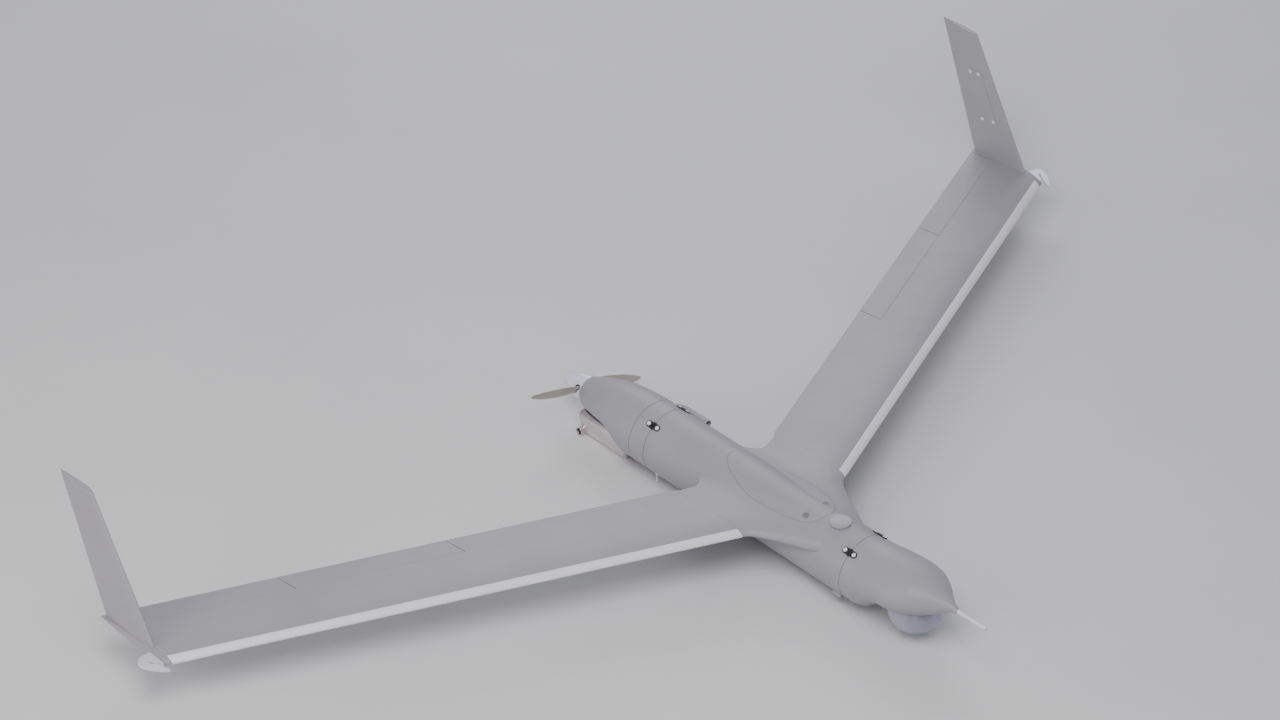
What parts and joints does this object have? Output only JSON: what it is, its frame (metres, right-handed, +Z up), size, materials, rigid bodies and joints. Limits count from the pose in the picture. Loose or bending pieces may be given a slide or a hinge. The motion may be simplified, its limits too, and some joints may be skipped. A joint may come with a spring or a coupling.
{
  "type": "fixed wing drone",
  "caption": "Long-endurance fixed wing drone with swept wings, winglets, tip recovery hooks, nose camera turret and pusher propeller.",
  "frame": {"origin": "centre of the bounding box, at its lowest face", "axes": "+X to the aircraft's left wing tip, +Y aft, +Z up"},
  "size_m": [3.207, 1.661, 0.5115],
  "materials": {
    "paint": "satin",
    "white_guard": "gloss",
    "hook_metal": "satin",
    "black_plastic": "matte",
    "puck_plastic": "satin",
    "steel": "brushed",
    "aluminium": "machined",
    "exhaust_metal": "polished",
    "dome_glass": "clear",
    "lens_glass": "coated",
    "prop_blade": "gloss",
    "carbon": "woven",
    "tank_plastic": "matte"
  },
  "bodies": {
    "airframe": {"centre_fuselage": "paint", "nose_shell": "paint", "engine_ring": "paint", "engine_cowl": "paint", "left_wing_panel": "paint", "right_wing_panel": "paint", "wing_spars": "carbon", "hinge_rods": "steel", "wingtip_caps": "paint", "leading_edge_strips": "white_guard", "wing_servos": "black_plastic", "left_winglet": "paint", "right_winglet": "paint", "winglet_covers": "paint", "winglet_cover_screws": "white_guard", "tip_hooks": "hook_metal", "hook_gate_pins": "hook_metal", "gps_antenna": "puck_plastic", "whip_antenna": "white_guard", "pitot_probe": "white_guard", "turret_dome": "dome_glass", "dome_retainer": "black_plastic", "gimbal_base": "black_plastic", "bulkheads": "aluminium", "engine_crankcase": "aluminium", "cylinder_head": "aluminium", "engine_mounts": "steel", "carburettor": "black_plastic", "muffler": "exhaust_metal", "exhaust_outlet": "exhaust_metal", "exhaust_header": "exhaust_metal", "latch_plates": "black_plastic", "latch_studs": "white_guard", "belly_lugs": "paint", "battery": "tank_plastic", "avionics_box": "black_plastic", "fuel_tank": "tank_plastic", "cooling_scoop": "paint"},
    "left_flap": {"left_inboard_flap": "paint"},
    "right_flap": {"right_inboard_flap": "paint"},
    "left_elevon": {"left_outboard_elevon": "paint"},
    "right_elevon": {"right_outboard_elevon": "paint"},
    "left_gate": {"left_hook_gate": "hook_metal"},
    "right_gate": {"right_hook_gate": "hook_metal"},
    "gimbal_pan": {"gimbal_yoke": "black_plastic"},
    "gimbal_tilt": {"camera_cradle": "black_plastic", "camera_barrels": "aluminium", "camera_lenses": "lens_glass"},
    "propulsor": {"propeller": "prop_blade", "spinner": "white_guard", "spinner_backplate": "aluminium", "crankshaft": "steel", "propeller_nut": "steel"},
    "hatch": {"top_hatch": "paint"},
    "hatch_lock_left": {"hatch_fastener_left": "steel"},
    "hatch_lock_right": {"hatch_fastener_right": "steel"},
    "nose_toggle_left": {"nose_latch_left": "black_plastic"},
    "nose_toggle_right": {"nose_latch_right": "black_plastic"},
    "rear_toggle_left": {"rear_latch_left": "black_plastic"},
    "rear_toggle_right": {"rear_latch_right": "black_plastic"}
  },
  "joints": [
    {"name": "left_flap_hinge", "type": "hinge", "parent": "airframe", "child": "left_flap", "pos_m": [0.741, 0.26743, 0.14212], "axis": [0.9174, 0.398, -0.0072], "range_deg": [-25, 25]},
    {"name": "right_flap_hinge", "type": "hinge", "parent": "airframe", "child": "right_flap", "pos_m": [-0.741, 0.26743, 0.14212], "axis": [0.9174, -0.398, 0.0072], "range_deg": [-25, 25]},
    {"name": "left_elevon_hinge", "type": "hinge", "parent": "airframe", "child": "left_elevon", "pos_m": [1.1448, 0.4426, 0.13897], "axis": [0.9174, 0.398, -0.0072], "range_deg": [-25, 25]},
    {"name": "right_elevon_hinge", "type": "hinge", "parent": "airframe", "child": "right_elevon", "pos_m": [-1.1448, 0.4426, 0.13897], "axis": [0.9174, -0.398, 0.0072], "range_deg": [-25, 25]},
    {"name": "left_gate_hinge", "type": "hinge", "parent": "airframe", "child": "left_gate", "pos_m": [1.5645, 0.4585, 0.1345], "axis": [0, 0, 1], "range_deg": [0, 40], "stiffness_Nm_per_rad": 0.02},
    {"name": "right_gate_hinge", "type": "hinge", "parent": "airframe", "child": "right_gate", "pos_m": [-1.5645, 0.4585, 0.1345], "axis": [0, 0, -1], "range_deg": [0, 40], "stiffness_Nm_per_rad": 0.02},
    {"name": "camera_pan", "type": "hinge", "parent": "airframe", "child": "gimbal_pan", "pos_m": [0, -0.5925, 0.1435], "axis": [0, 0, 1], "range_deg": [-170, 170]},
    {"name": "camera_tilt", "type": "hinge", "parent": "gimbal_pan", "child": "gimbal_tilt", "pos_m": [0, -0.5925, 0.0805], "axis": [0.766, -0.6428, 0], "range_deg": [-48, 62]},
    {"name": "propeller_spin", "type": "hinge", "parent": "airframe", "child": "propulsor", "pos_m": [0, 0.6255, 0.0985], "axis": [0, 1, 0], "continuous": true},
    {"name": "hatch_lift", "type": "slide", "parent": "airframe", "child": "hatch", "axis": [0, 0, 1], "range_m": [0, 0.08]},
    {"name": "hatch_lock_left_turn", "type": "hinge", "parent": "hatch", "child": "hatch_lock_left", "pos_m": [0.03546, -0.2345, 0.17925], "axis": [0.2726, 0, 0.9621], "range_deg": [0, 90]},
    {"name": "hatch_lock_right_turn", "type": "hinge", "parent": "hatch", "child": "hatch_lock_right", "pos_m": [-0.03546, -0.2345, 0.17925], "axis": [-0.2726, 0, 0.9621], "range_deg": [0, 90]},
    {"name": "nose_toggle_left_turn", "type": "hinge", "parent": "airframe", "child": "nose_toggle_left", "pos_m": [0.0529, -0.4105, 0.17131], "axis": [0.5878, 0, 0.809], "range_deg": [0, 90]},
    {"name": "nose_toggle_right_turn", "type": "hinge", "parent": "airframe", "child": "nose_toggle_right", "pos_m": [-0.0529, -0.4105, 0.17131], "axis": [-0.5878, 0, 0.809], "range_deg": [0, 90]},
    {"name": "rear_toggle_left_turn", "type": "hinge", "parent": "airframe", "child": "rear_toggle_left", "pos_m": [0.0529, 0.3095, 0.17131], "axis": [0.5878, 0, 0.809], "range_deg": [0, 90]},
    {"name": "rear_toggle_right_turn", "type": "hinge", "parent": "airframe", "child": "rear_toggle_right", "pos_m": [-0.0529, 0.3095, 0.17131], "axis": [-0.5878, 0, 0.809], "range_deg": [0, 90]}
  ]
}
